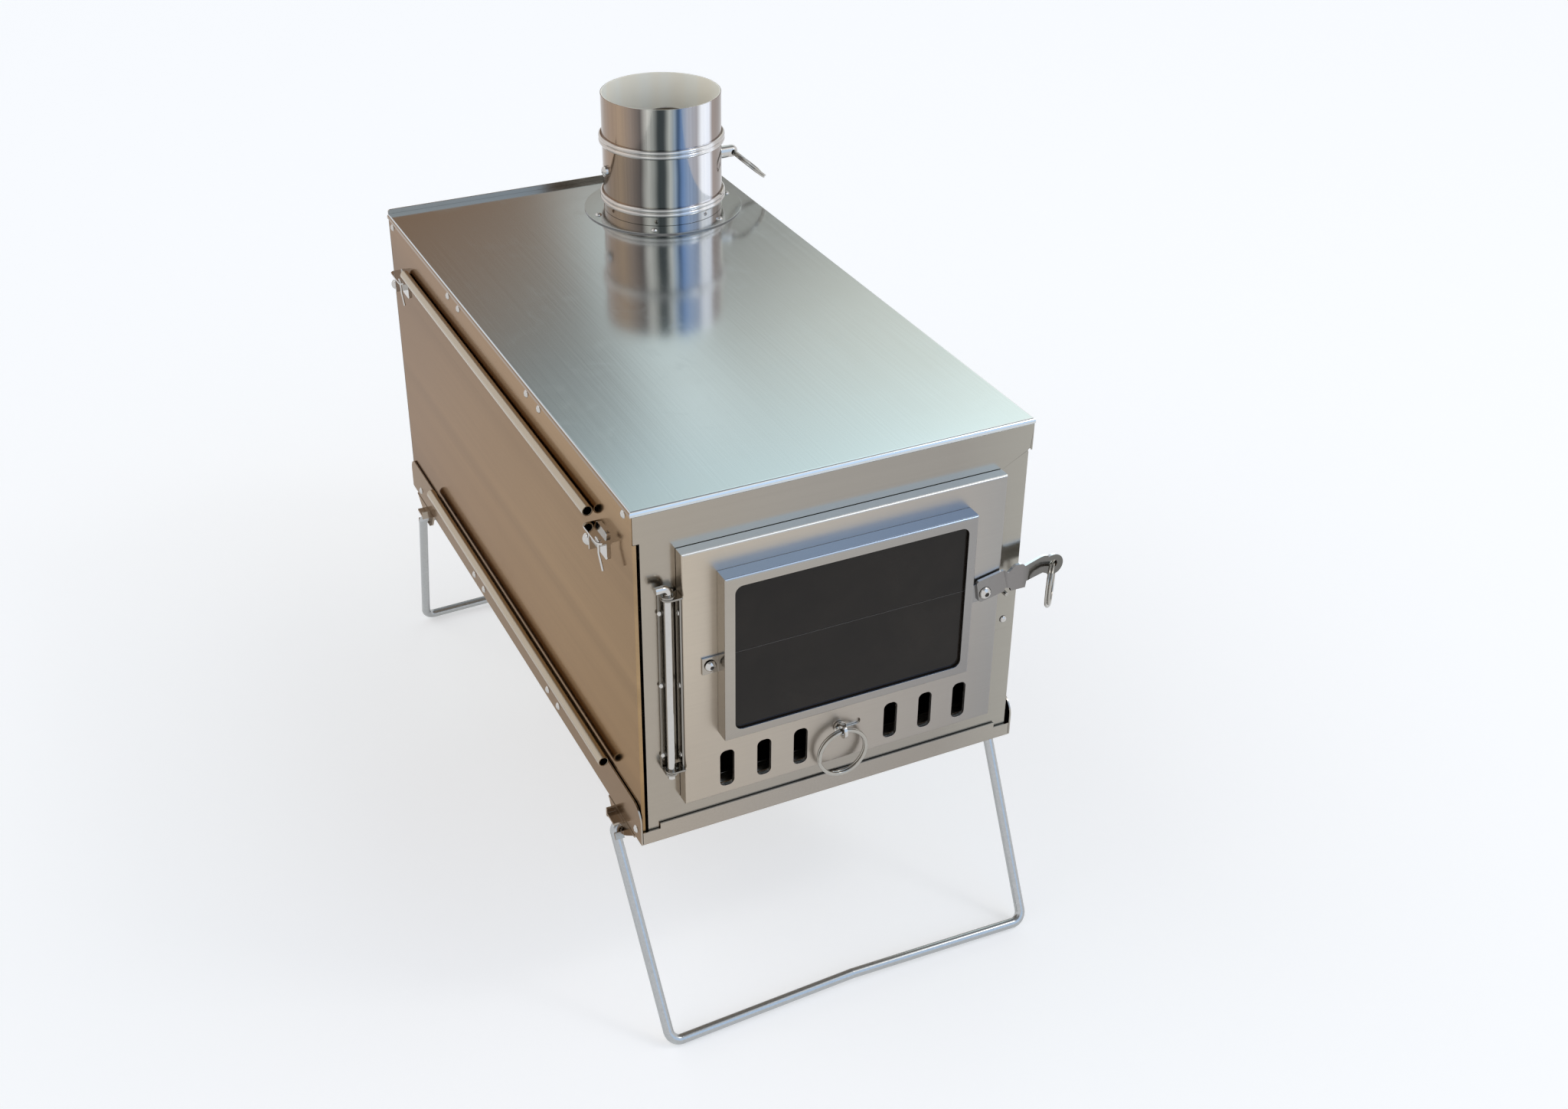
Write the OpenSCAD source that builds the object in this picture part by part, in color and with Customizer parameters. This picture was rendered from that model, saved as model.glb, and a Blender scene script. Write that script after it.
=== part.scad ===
// Folding sheet-metal tent stove with a glazed door, a damper section on the flue
// collar, side tubes for racks and two folding wire legs.
// X is the width, Y runs from the door to the back, Z is up from the ground.
// Heights and depths in the sections are measured from the tray and the front panel.

/* [Body] */
// Width over the lid
body_w = 206.4; // [200:0.2:230]
// Depth from the front panel to the back panel
body_l = 380; // [376:1:420]
// Height from the tray to the lid
body_h = 186; // [184:1:210]
// Thickness of the body sheet
sheet_t = 0.8; // [0.6:0.1:0.9]
// Depth of the lid's right flange
lid_flange = 16.5; // [12:0.5:18]
// Outer radius of the lid's front bend
lid_front_r = 2; // [1.5:0.1:2.4]
// Outer radius of the other bends
bend_r = 1.4; // [1.2:0.1:2]
// Height of the back panel above the lid
back_lip = 2.6; // [0.5:0.1:4]

/* [Tray] */
// Width over the tray
tray_w = 207.2; // [200.8:0.2:231]
// Height of the tray's side flanges
tray_side_h = 22; // [18:0.5:22]
// Height of the tray's front and back flanges
tray_front_h = 11; // [9:0.5:14]
// How far the tray stands in front of the front panel
tray_lead = 1.2; // [1:0.1:4]

/* [Door] */
// Width of the door
door_w = 168; // [164:1:170]
// Height of the door
door_h = 140; // [138:1:142]
// Height of the door's lower edge
door_z = 23; // [22:0.5:24]
// Offset of the door from the middle of the body
door_x = 1.7; // [1:0.1:2]
// How far the door's face stands off the front panel
door_d = 7; // [6.8:0.1:7.4]
// Thickness of the door sheet
door_t = 1; // [0.8:0.1:1.1]
// Distance of the hinge axis from the door's edge
hinge_gap = 6.2; // [6:0.1:7]

/* [Window] */
// Width of the window frame
frame_w = 130.8; // [126:0.2:131]
// Height of the window frame
frame_h = 89.5; // [86:0.5:91]
// Height of the window frame's lower edge
frame_z = 61.2; // [60.6:0.1:62]
// How far the window frame stands off the door
frame_d = 8.8; // [8.4:0.1:9.6]
// Width of the rim round the glass
frame_rim = 5; // [4:0.5:6]
// Thickness of the glass
glass_t = 3; // [2:0.5:4]

/* [Air slots] */
// Width of one air slot
slot_w = 7.5; // [5:0.5:8]
// Height of one air slot
slot_h = 21; // [15:1:22]
// Spacing of the slots
slot_pitch = 19.5; // [18:0.5:19.5]
// Distance from the middle of the row to its nearest slot
slot_start = 24.7; // [23:0.1:25]
// Height of the slots' middle
slot_z = 38.2; // [37.6:0.1:38.6]
// Middle of the row of slots
slot_x = 3; // [2:0.1:3]
// Travel of the air slider
slider_travel = 9.75; // [8.5:0.25:9.75]

/* [Latch] */
// Height of the latch pivot
latch_z = 101; // [100:0.1:103]
// Distance from the pivot to the ring's hole
latch_len = 39; // [36:0.1:42]
// Angle of the lever when it is off its catch
latch_angle = 9.5; // [9:0.5:10.5]
// Outer diameter of the latch ring
latch_ring_d = 25; // [22:0.5:28]
// Outer diameter of the air slider's ring
air_ring_d = 27.2; // [25:0.1:30]

/* [Flue] */
// Outer diameter of the flue section
flue_d = 70; // [66:1:72]
// Height of the flue section above the lid
flue_h = 70; // [66:1:80]
// Offset of the flue to the right
flue_x = 50; // [44:1:51]
// Distance of the flue from the front panel
flue_y = 324; // [300:1:326]
// Diameter of the collar's flange
collar_d = 93.4; // [92:0.2:96]
// Height of the damper shaft above the lid
damper_z = 27; // [25:0.5:30]
// Outer diameter of the damper's ring
damper_ring_d = 28.4; // [25:0.1:30]

/* [Side tubes] */
// Outer diameter of the tubes
tube_d = 5.4; // [5:0.1:6]
// Bore of the tubes
tube_bore = 4.2; // [3.6:0.1:4.4]
// Height of the upper tubes
tube_upper_z = 162; // [156:0.5:164]
// Height of the lower tubes
tube_lower_z = 24; // [22:0.5:26]

/* [Legs] */
// Diameter of the leg wire
wire_d = 5.3; // [4.6:0.1:5.3]
// Height from the ground to the legs' pivots
leg_drop = 96.6; // [90:0.2:104]
// How far the front foot stands in front of its pivot
front_run = 58; // [50:1:60]
// How far the rear foot stands behind its pivot
rear_run = 36; // [34:1:50]
// Distance of the front pivot from the front panel
front_pivot = 28; // [26:1:32]
// Distance of the rear pivot from the front panel
rear_pivot = 353; // [340:1:353]

/* [Hidden] */
$fn = 48;
steel = "silver";
warm_steel = "tan";
dark = [0.08, 0.08, 0.09];
eps = 0.01;
ball_k = 1.02;       // the balls in a bent rod, to the rod
run_gap = 0.05;      // a pin in its hole
slip = 0.1;          // sheets that lie on one another
lid_hw = body_w / 2;
tray_hw = tray_w / 2;
side_x = lid_hw - sheet_t;            // outer face of the left panel
right_x = side_x - 2;                 // outer face of the right panel
front_right = side_x - 1.9;           // edges of the front panel
front_left = side_x - 3.2;
hem_r = (lid_hw - right_x - slip) / 2;
lid_lip = lid_front_r + 0.4;          // depth of the lid's front and left bends
// legs
pivot_drop = 8;
leg_bend = wire_d / 2 + 0.3;
leg_x = tray_hw + leg_bend + 0.05;
foot_x = 102.5;
bracket_t = 1.2;
base_z = leg_drop + wire_d / 2 * ball_k + pivot_drop;
// door
door_left = door_x - door_w / 2;
door_gap = 0.4;
hinge_x = door_left - hinge_gap;
hinge_y = -5;
hinge_r = 1.9;
hinge_low = 44.5;
hinge_high = 142;
ear_t = 1;
hinge_rivet_rows = [51.6, 91.8, 131.6];
frame_y = -door_d - frame_d;
window_w = frame_w - 2 * frame_rim;
window_h = frame_h - 2 * frame_rim;
window_z = frame_z + frame_h / 2;
window_r = 4;
glass_y = frame_y + door_t + 0.6;
glass_split = 109.4;
// air slider
slider_t = 0.8;
slider_y = -door_d + door_t + 0.15;
slider_h = 26;
eye_x = -0.8;
eye_z = 43.6;
eye_y = -door_d - 4.2;
// rings of two coils
coil_r = 0.85;
coil_pitch = 1.4;
air_ring_r = air_ring_d / 2 - coil_r;
latch_ring_r = latch_ring_d / 2 - coil_r;
// latch
lever_t = 1.5;
tab_t = 0.8;
tab_y = -door_d - slip;
lever_y = tab_y - tab_t;
latch_x = 76;
lever_hole_r = 2.7;
catch_x = 93.6;
shelf_z = 94;
// flue
pipe_t = 0.8;
pipe_r = flue_d / 2;
throat_r = pipe_r - 1.8;
section_z = pipe_t + slip;
bead_r = 1.45;       // the two beads of a pair run together
bead_rows = [7.6, 10.2, 42.2, 44.8];
shaft_r = 2.5;
shaft_eye_x = pipe_r + 10;
plate_cut = 20;
damper_ring_angle = 41;
// tubes
upper_tube_x = tube_d / 2 + slip;
lower_tube_x = tray_hw + tube_d / 2 + slip;
upper_tube = [48, 343];
lower_tube = [39, 327];
clip_rows = [36, 352];
clip_z = tube_upper_z - 5.5;
clip_reach = 6.9;
// rivets
rivet_r = 2.1;
rivet_rows = [10, 118.5, 136.4, 245.7, 264.1, 371.8];
rivet_drop = 5.8;
tray_rivet_rows = [5.3, 113.5, 129.6, 237.4, 254.9, 362.6];
tray_rivet_z = 6.5;
// where the middle of the whole object's outline lies
latch_tip = [latch_x + latch_len * cos(latch_angle), latch_z + latch_len * sin(latch_angle)];
ring_turn = 36;
ring_reach = latch_ring_r * sin(ring_turn) + coil_r + coil_pitch / 2 * cos(ring_turn);
span_right = latch_tip[0] + ring_reach;
span_left = max(leg_x + wire_d / 2 * ball_k, lower_tube_x + tube_d / 2, side_x + clip_reach);
mid_x = (span_right - span_left) / 2;
mid_y = (rear_pivot + rear_run + front_pivot - front_run) / 2;

// ---------- shared shapes ----------

// puts a shape measured from the body in the object's frame
module placed() { translate([-mid_x, -mid_y, base_z]) children(); }

// an upright profile, its two upper corners rounded
module bend_profile(w, h, r) {
  difference() {
    translate([-w / 2, -h]) square([w, h]);
    for (s = [-1, 1]) translate([s * (w / 2 - r), -r]) difference() {
      translate([s > 0 ? 0 : -2 * r, 0]) square(2 * r);
      circle(r);
    }
  }
}

// the outside of a folded pan: its floor is at z = 0, its walls run down
module pan_block(w, l, h, rx, ry) {
  intersection() {
    rotate([90, 0, 0]) linear_extrude(l, center = true) bend_profile(w, h, rx);
    rotate([90, 0, 90]) linear_extrude(w, center = true) bend_profile(l, h, ry);
  }
}

// a pan folded from sheet
module pan(w, l, h, rx, ry, t) {
  difference() {
    pan_block(w, l, h, rx, ry);
    translate([0, 0, -t]) pan_block(w - 2 * t, l - 2 * t, h, rx - t, ry - t);
  }
}

// a pan that faces the front, by its middle, lower edge, size, face and depth
module front_pan(x, z, w, h, face_y, depth, t) {
  translate([x, face_y, z + h / 2]) rotate([90, 0, 0]) pan(w, h, depth, bend_r, bend_r, t);
}

// a flat rectangle with rounded corners
module round_rect(w, h, r) {
  square([w - 2 * r, h], center = true);
  square([w, h - 2 * r], center = true);
  for (x = [-1, 1], y = [-1, 1]) translate([x * (w / 2 - r), y * (h / 2 - r)]) circle(r);
}

// a box by its two corners
module span(a, b) { translate(a) cube(b - a); }

// stands what is drawn in the XY plane up in the XZ plane, its z towards the front
module upright(p) { translate(p) rotate([90, 0, 0]) children(); }

// a domed head whose flat side is at z = 0
module dome(r = rivet_r, h = 1.2) {
  ball = (r * r + h * h) / (2 * h);
  intersection() {
    translate([0, 0, h - ball]) sphere(ball);
    cylinder(r = r, h = h);
  }
}

function unit(v) = v / norm(v);
function turn(a, b) = atan2(a[0] * b[1] - a[1] * b[0], a * b);

// a rod of radius r along the points p of the XY plane, with bend radii rb;
// a radius of 0 is a slight kink. Its pieces end inside slightly larger balls.
module bent_rod(p, r, rb) {
  last = len(p) - 1;
  lap = r * 0.03;
  dir = [for (i = [0:last - 1]) unit(p[i + 1] - p[i])];
  bend = [for (i = [0:last]) i == 0 || i == last ? 0 : turn(dir[i - 1], dir[i])];
  cut = [for (i = [0:last]) i == 0 || i == last ? 0 : rb[i] * tan(abs(bend[i]) / 2)];
  for (i = [0:last - 1]) {
    start = cut[i] + (i == 0 ? 0 : lap);
    end = norm(p[i + 1] - p[i]) - cut[i + 1] - (i == last - 1 ? 0 : lap);
    translate([p[i][0], p[i][1], 0]) rotate([0, 0, atan2(dir[i][1], dir[i][0])])
      rotate([0, 90, 0]) translate([0, 0, start]) cylinder(r = r, h = end - start);
  }
  for (i = [1:last - 1]) {
    for (k = rb[i] > 0 ? [i - 1, i] : [i]) {
      q = p[i] + dir[k] * cut[i] * (k == i ? 1 : -1);
      // its poles lie inside the rod
      translate([q[0], q[1], 0]) rotate([0, 0, atan2(dir[k][1], dir[k][0])])
        rotate([45, 90, 0]) sphere(r * ball_k);
    }
    if (rb[i] > 0) {
      side = bend[i] > 0 ? 1 : -1;
      start = p[i] - dir[i - 1] * cut[i];
      mid = start + side * rb[i] * [-dir[i - 1][1], dir[i - 1][0]];
      from = atan2(start[1] - mid[1], start[0] - mid[0]);
      trim = lap / rb[i] * 180 / PI;
      sweep = abs(bend[i]) - 2 * trim;
      translate([mid[0], mid[1], 0]) rotate([0, 0, (side > 0 ? from : from - abs(bend[i])) + trim])
        rotate_extrude(angle = sweep) translate([rb[i], 0]) circle(r);
    }
  }
}

// a split ring of two coils in the XY plane, its top at the origin
module split_ring(r) {
  translate([0, -r, 0]) rotate_extrude(convexity = 4) {
    for (s = [-1, 1]) translate([r, s * coil_pitch / 2]) circle(coil_r, $fn = 24);
    translate([r - 0.3, -coil_pitch / 2]) square([0.6, coil_pitch]);
  }
}

module left_and_right() {
  children();
  mirror([1, 0, 0]) children();
}

// ---------- body shell ----------

module top_panel() {
  pan_l = body_l + 12;
  rear = body_l - sheet_t - slip;
  straight = lid_flange - hem_r;
  color(steel) placed() translate([0, 0, body_h]) difference() {
    union() {
      translate([0, pan_l / 2, 0]) pan(body_w, pan_l, straight, bend_r, lid_front_r, sheet_t);
      // hem that turns in under the right flange
      translate([lid_hw - hem_r, sheet_t, -straight]) rotate([-90, 0, 0]) difference() {
        cylinder(r = hem_r, h = body_l);
        translate([0, 0, -1]) cylinder(r = hem_r - sheet_t, h = body_l + 2);
        translate([-4, -8, -1]) cube([8, 8, body_l + 2]);
      }
    }
    // the front and left bends stop short, the back is open
    span([-lid_hw - 1, -1, -lid_flange - 4], [lid_hw + 1, sheet_t + eps, -lid_lip]);
    span([-lid_hw - 1, -1, -lid_flange - 4], [-lid_hw + 4, pan_l + 1, -lid_lip]);
    span([-lid_hw - 1, rear, -lid_flange - 4], [lid_hw + 1, pan_l + 1, 1]);
    // rounded front corner of the right flange
    translate([lid_hw - 4, sheet_t, -lid_flange]) rotate([90, 0, 90]) linear_extrude(5)
      difference() {
        translate([-1, -1]) square([4, 4]);
        translate([3, 3]) circle(3);
      }
    // flue throat
    translate([flue_x, flue_y, -2]) cylinder(r = throat_r, h = 4, $fn = 96);
  }
}

module front_panel() {
  low = sheet_t + slip;
  high = body_h - lid_lip - slip;
  ear = body_h - lid_flange;
  color(steel) placed() difference() {
    union() {
      span([-front_left, 0, low], [front_right, sheet_t, high]);
      span([0.3 - side_x, 0, ear], [lid_hw - 0.6, sheet_t, high]);
    }
    // fire door opening
    upright([door_x, 2, door_z + door_h / 2])
      linear_extrude(4) round_rect(door_w - 12, door_h - 14, 6);
    // relief notch at the right ear
    upright([front_right + 0.6, 1, ear]) cylinder(r = 0.9, h = 2);
  }
}

// one side panel: its outer face on the plane x = 0, its inside towards +x
module side_sheet(front_y) {
  low = sheet_t + slip;
  high = body_h - 1.5;
  rear_y = body_l - 1.2;
  hem = 1.7;
  hem_depth = [5, 4];
  corner = 0.7;
  translate([0, 0, low]) linear_extrude(high - low) difference() {
    union() {
      translate([0, front_y]) square([sheet_t, rear_y - front_y]);
      translate([0, front_y]) square([hem, hem_depth[0]]);
      translate([0, rear_y - hem_depth[1]]) square([hem, hem_depth[1]]);
    }
    // the hems are folded back, with a slit inside them
    translate([sheet_t, front_y + sheet_t]) square([hem - 2 * sheet_t, hem_depth[0]]);
    translate([sheet_t, rear_y - hem_depth[1] - 1]) square([hem - 2 * sheet_t, hem_depth[1]]);
    translate([0, front_y]) difference() {
      translate([-1, -1]) square(1 + corner);
      translate([corner, corner]) circle(corner);
    }
  }
}

module left_side_panel() {
  ear = body_h - lid_flange - 0.2;
  color(warm_steel) placed() difference() {
    translate([-side_x, 0, 0]) side_sheet(0);
    // clearance for the front panel's ear
    span([-side_x - 1, -1, ear], [-side_x + 4, sheet_t + slip, body_h]);
  }
}

module right_side_panel() {
  color(warm_steel) placed() mirror([1, 0, 0]) translate([-right_x, 0, 0])
    side_sheet(sheet_t + slip);
}

module back_panel() {
  low = sheet_t + slip;
  high = body_h + back_lip;
  color(steel) placed() upright([(right_x - side_x) / 2, body_l, (low + high) / 2])
    linear_extrude(sheet_t) round_rect(side_x + right_x, high - low, 1.5);
}

module bottom_tray() {
  front_y = -tray_lead;
  len_y = body_l + 2 * tray_lead;
  notch_h = 8;
  corner = 9;
  color(steel) placed() difference() {
    translate([0, body_l / 2, 0]) mirror([0, 0, 1])
      pan(tray_w, len_y, tray_side_h, bend_r, bend_r, sheet_t);
    for (m = [0, 1]) translate([0, m * body_l, 0]) mirror([0, m, 0]) {
      // the front flange is low
      span([-tray_hw + 1.5, front_y - 1, tray_front_h], [tray_hw - 1.5, front_y + 1, tray_side_h + 1]);
      for (s = [0, 1]) mirror([s, 0, 0]) {
        // it is lower still at its ends
        span([tray_hw - 10.2, front_y - 1, notch_h], [tray_hw - 1.1, front_y + 1, tray_side_h + 1]);
        // open seam beside the side flange
        span([tray_hw - 1.2, front_y - 1, bend_r], [tray_hw - 0.9, front_y + 1, tray_side_h + 1]);
        // rounded upper corner of the side flange
        translate([tray_hw - 2, front_y, tray_side_h - corner]) rotate([90, 0, 90])
          linear_extrude(4) difference() {
            translate([-1, 0]) square(corner + 1);
            translate([corner, 0]) circle(corner);
          }
      }
    }
  }
}

// a folding hinge in the inner corner of a side panel; it runs along y
module hinge_strip(length) {
  leaf = 9;
  t = 0.7;
  knuckle = 1.6;
  rotate([-90, 0, 0]) {
    translate([knuckle, knuckle, 0]) difference() {
      cylinder(r = knuckle, h = length, $fn = 24);
      translate([0, 0, -1]) cylinder(r = 0.8, h = length + 2, $fn = 24);
    }
    translate([0, knuckle, 0]) cube([t, leaf, length]);
    translate([knuckle, 0, 0]) cube([leaf, t, length]);
  }
}

module side_hinges(panel_x) {
  half = 56;
  inset = panel_x - sheet_t - slip;
  for (i = [0, 2, 4]) {
    y = (rivet_rows[i] + rivet_rows[i + 1]) / 2;
    low_y = (tray_rivet_rows[i] + tray_rivet_rows[i + 1]) / 2;
    translate([-inset, y - half, body_h - sheet_t - slip]) hinge_strip(2 * half);
    translate([-inset, low_y - half + 3, sheet_t + slip]) mirror([0, 0, 1])
      hinge_strip(2 * half - 6);
  }
}

module left_hinge_strips() { color(steel) placed() side_hinges(side_x); }
module right_hinge_strips() { color(steel) placed() mirror([1, 0, 0]) side_hinges(right_x); }

module side_rivets(panel_x) {
  for (y = rivet_rows) translate([-panel_x, y, body_h - rivet_drop]) rotate([0, -90, 0]) dome();
  for (y = tray_rivet_rows) translate([-tray_hw, y, tray_rivet_z]) rotate([0, -90, 0]) dome();
}

module left_rivets() { color(steel) placed() side_rivets(side_x); }
module right_rivets() { color(steel) placed() mirror([1, 0, 0]) side_rivets(lid_hw); }

module fire_grate() {
  size = [174, 300, 14];
  slot = [5, 34, 2.4];
  cols = 9;
  rows = 7;
  color("dimgray") placed() translate([0, 12 + size[1] / 2, sheet_t + slip + size[2]])
    difference() {
      intersection() {
        pan(size[0], size[1], size[2], bend_r, bend_r, 1);
        cube([size[0] + 2, size[1] - 4, 2 * size[2] + 2], center = true);
      }
      for (i = [0:cols - 1], j = [0:rows - 1])
        translate([(i - (cols - 1) / 2) * 18, (j - (rows - 1) / 2) * 41, -2])
          linear_extrude(4) round_rect(slot[0], slot[1], slot[2]);
    }
}

// ---------- flue ----------

module at_flue(z) { placed() translate([flue_x, flue_y, body_h + z]) children(); }

module flue_collar() {
  color(steel) at_flue(0) rotate_extrude($fn = 96) {
    translate([throat_r, 0]) square([collar_d / 2 - throat_r, pipe_t]);
    translate([throat_r, 0]) square([pipe_t, 12]);
  }
}

module collar_rivets() {
  color(steel) at_flue(pipe_t) for (a = [0:60:300]) rotate([0, 0, a])
    translate([41.2, 0, 0]) dome(2, 1.3);
}

module damper_section() {
  color(steel) at_flue(0) difference() {
    rotate_extrude($fn = 96) {
      translate([pipe_r - pipe_t, section_z]) square([pipe_t, flue_h - section_z]);
      // rolled beads in pairs
      for (z = bead_rows) intersection() {
        translate([pipe_r + 0.5, z]) circle(bead_r, $fn = 24);
        translate([pipe_r - 0.4, z - 2]) square([4, 4]);
      }
    }
    translate([0, 0, damper_z]) rotate([0, 90, 0])
      cylinder(r = shaft_r + run_gap, h = 3 * pipe_r, center = true);
  }
}

module damper_shaft() {
  left_x = -pipe_r - 6;
  boss_x = pipe_r + 1;
  boss_r = 3.6;
  color(steel) at_flue(damper_z) difference() {
    union() {
      translate([left_x, 0, 0]) rotate([0, 90, 0]) cylinder(r = shaft_r, h = shaft_eye_x - left_x);
      translate([boss_x, 0, 0]) rotate([0, 90, 0]) cylinder(r = boss_r, h = shaft_eye_x - boss_x);
      translate([shaft_eye_x, 0, 0]) sphere(boss_r);
    }
    // flat for the plate
    span([-plate_cut, 0, -4], [plate_cut, 4, 4]);
    translate([shaft_eye_x, 0, 0]) rotate([90, 0, 0]) cylinder(r = 1.7, h = 12, center = true);
  }
}

module damper_plate() {
  plate_r = throat_r - 0.6;
  color("gray") at_flue(damper_z) upright([0, 1.2, 0]) difference() {
    cylinder(r = plate_r, h = 1.1, $fn = 96);
    // slotted where the shaft is round
    for (s = [-1, 1]) translate([s * (plate_cut + 8), 0, 0])
      cube([16.2, 2 * shaft_r + 0.6, 4], center = true);
    for (s = [-1, 1]) translate([s * 14, 17, -1]) cylinder(r = 3, h = 4);
  }
}

module damper_fasteners() {
  color(steel) at_flue(damper_z) {
    translate([-pipe_r - 4.6, 0, 0]) rotate([0, 90, 0]) difference() {
      cylinder(r = 4.6, h = 3.4, $fn = 6);
      translate([0, 0, -1]) cylinder(r = shaft_r, h = 6);
    }
    for (x = [-10, 10]) translate([x, 1.2, 0]) rotate([-90, 0, 0]) dome(2, 1.1);
  }
}

module damper_ring() {
  wire = 1.05;
  r = damper_ring_d / 2 - wire;
  color(steel) at_flue(damper_z) translate([shaft_eye_x, 0, 0])
    rotate([0, damper_ring_angle, 0]) translate([r, 0, 0])
      rotate_extrude($fn = 64) translate([r, 0]) circle(wire, $fn = 24);
}

// ---------- side tubes and rack clips ----------

module side_tube(x, ends, z) {
  length = ends[1] - ends[0];
  color(warm_steel) placed() translate([x, ends[0], z]) rotate([-90, 0, 0]) difference() {
    cylinder(d = tube_d, h = length);
    translate([0, 0, -1]) cylinder(d = tube_bore, h = length + 2);
  }
}

module upper_left_tube() { side_tube(-side_x - upper_tube_x, upper_tube, tube_upper_z); }
module lower_left_tube() { side_tube(-lower_tube_x, lower_tube, tube_lower_z); }
module upper_right_tube() { side_tube(right_x + upper_tube_x, upper_tube, tube_upper_z); }
module lower_right_tube() { side_tube(lower_tube_x, lower_tube, tube_lower_z); }

// a bent clip on a side panel whose outer face is the plane x = 0, seen from the left
module rack_clip() {
  // back plate and the ear that stands out under the tube's end
  translate([-1, 0, -4]) rotate([90, 0, 90]) linear_extrude(1) round_rect(13, 15, 2);
  linear_extrude(1) difference() {
    union() {
      translate([-2.1, 0]) square([4.2, 20], center = true);
      translate([-4.2, -7.5]) circle(2.5);
      translate([-4.2, 7.5]) circle(2.5);
      translate([-5.2, 0]) square([3, 15], center = true);
    }
    // hole of the wire hook
    translate([-5.4, -8.08]) circle(0.8);
  }
  // cheek with a button-head screw
  translate([-5.5, 4, -10]) cube([5, 1, 10.5]);
  translate([-1, 8.6, -7]) rotate([0, -90, 0]) cylinder(r = 2, h = 4);
  span([-2, 4, -9], [-1, 9, -5]);
  translate([-5, 8.6, -7]) rotate([0, -90, 0]) dome(3, 1.9);
}

// the wire hook that hangs in a clip's ear
module clip_hook() {
  translate([-5.4, 0, 0]) rotate([90, 0, 90])
    bent_rod([[-5, 1.62], [-8.1, 1.62], [-8.04, -5], [-12.5, -12]], 0.6, [0, 0.9, 0, 0]);
}

module clips(x) { for (y = clip_rows) translate([-x, y, clip_z]) rack_clip(); }
module hooks(x) { for (y = clip_rows) translate([-x, y, clip_z]) clip_hook(); }

module left_rack_clips() { color(steel) placed() clips(side_x); }
module right_rack_clips() { color(steel) placed() mirror([1, 0, 0]) clips(right_x); }
module left_clip_hooks() { color(steel) placed() hooks(side_x); }
module right_clip_hooks() { color(steel) placed() mirror([1, 0, 0]) hooks(right_x); }

// ---------- door ----------

module air_slots(y, depth) {
  for (s = [-1, 1], i = [0:2])
    upright([slot_x + s * (slot_start + i * slot_pitch), y, slot_z])
      linear_extrude(depth, center = true) round_rect(slot_w, slot_h, slot_w * 0.4);
}

module door_panel() {
  color(steel) placed() difference() {
    front_pan(door_x, door_z, door_w, door_h, -door_d, door_d - door_gap, door_t);
    upright([0, -door_d, window_z])
      linear_extrude(6, center = true) round_rect(window_w + 1, window_h + 1, window_r);
    air_slots(-door_d, 6);
    // travel slot of the pull ring's eye
    upright([eye_x + slider_travel / 2, -door_d, eye_z])
      linear_extrude(6, center = true) round_rect(slider_travel + 3.8, 3.8, 1.85);
    upright([latch_x, -door_d, latch_z]) cylinder(r = 1.5, h = 6, center = true);
  }
}

module window_frame() {
  half = frame_w / 2;
  color(steel) placed() difference() {
    union() {
      front_pan(0, frame_z, frame_w, frame_h, frame_y, frame_d - slip, door_t);
      // feet that are bent out at the sides and screwed to the door
      span([-half - 8, lever_y, latch_z - 4.5], [-half + 0.5, tab_y, latch_z + 4.5]);
      span([half - 0.5, lever_y, latch_z - 5], [latch_x + 5, tab_y, latch_z + 5]);
    }
    upright([0, frame_y, window_z])
      linear_extrude(6, center = true) round_rect(window_w, window_h, window_r);
    upright([latch_x, tab_y, latch_z]) cylinder(r = 1.5, h = 6, center = true);
  }
}

module glass(z0, z1) {
  half = frame_w / 2 - door_t - 0.6;
  color(dark) placed() span([-half, glass_y, z0], [half, glass_y + glass_t, z1]);
}

module upper_glass() { glass(glass_split + 0.1, frame_z + frame_h - door_t - 0.6); }
module lower_glass() { glass(frame_z + door_t + 0.6, glass_split - 0.1); }

// fibre strip between the frame's face and the glass
module glass_gasket() {
  color("whitesmoke") placed() upright([0, glass_y - 0.05, window_z]) linear_extrude(0.5)
    difference() {
      round_rect(frame_w - 3.6, frame_h - 3.6, 1);
      round_rect(window_w + 1.2, window_h + 1.2, window_r);
    }
}

// angles that press the glass from behind
module glass_clamps() {
  half = frame_w / 2 - door_t - 0.6;
  back = glass_y + glass_t + 0.05;
  color(steel) placed() for (s = [-1, 1]) translate([0, 0, window_z]) mirror([0, 0, s > 0 ? 1 : 0]) {
    edge = -frame_h / 2 + door_t + slip;
    span([-half, back, edge], [half, back + 0.8, edge + 4.4]);
    span([-half, back, edge], [half, -door_d - 0.4, edge + 0.8]);
  }
}

module button_screw(r, h, hex_r) {
  difference() {
    dome(r, h);
    translate([0, 0, h - 0.9]) cylinder(r = hex_r, h = 2, $fn = 6);
  }
}

module window_screw() {
  color(steel) placed() upright([-frame_w / 2 - 4, lever_y, latch_z]) {
    cylinder(r = 1.8, h = 0.6);
    translate([0, 0, 0.6]) button_screw(2.9, 1.9, 1.1);
  }
}

module slider_guides() {
  rear = -door_d + door_t;
  keeper = rear + slider_t + 0.4;
  ends = [-78, 83];
  top = slot_z + slider_h / 2 + 0.15;
  low = slot_z - slider_h / 2 - 0.15;
  color(steel) placed() {
    span([ends[0], rear, top], [ends[1], keeper, top + 3]);
    span([ends[0], keeper, top - 1.2], [ends[1], keeper + 0.7, top + 3]);
    span([ends[0], rear + 0.2, door_z + door_t + 0.15], [ends[1], keeper, low]);
    span([ends[0], keeper, door_z + door_t], [ends[1], keeper + 0.7, low + 1.2]);
  }
}

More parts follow.
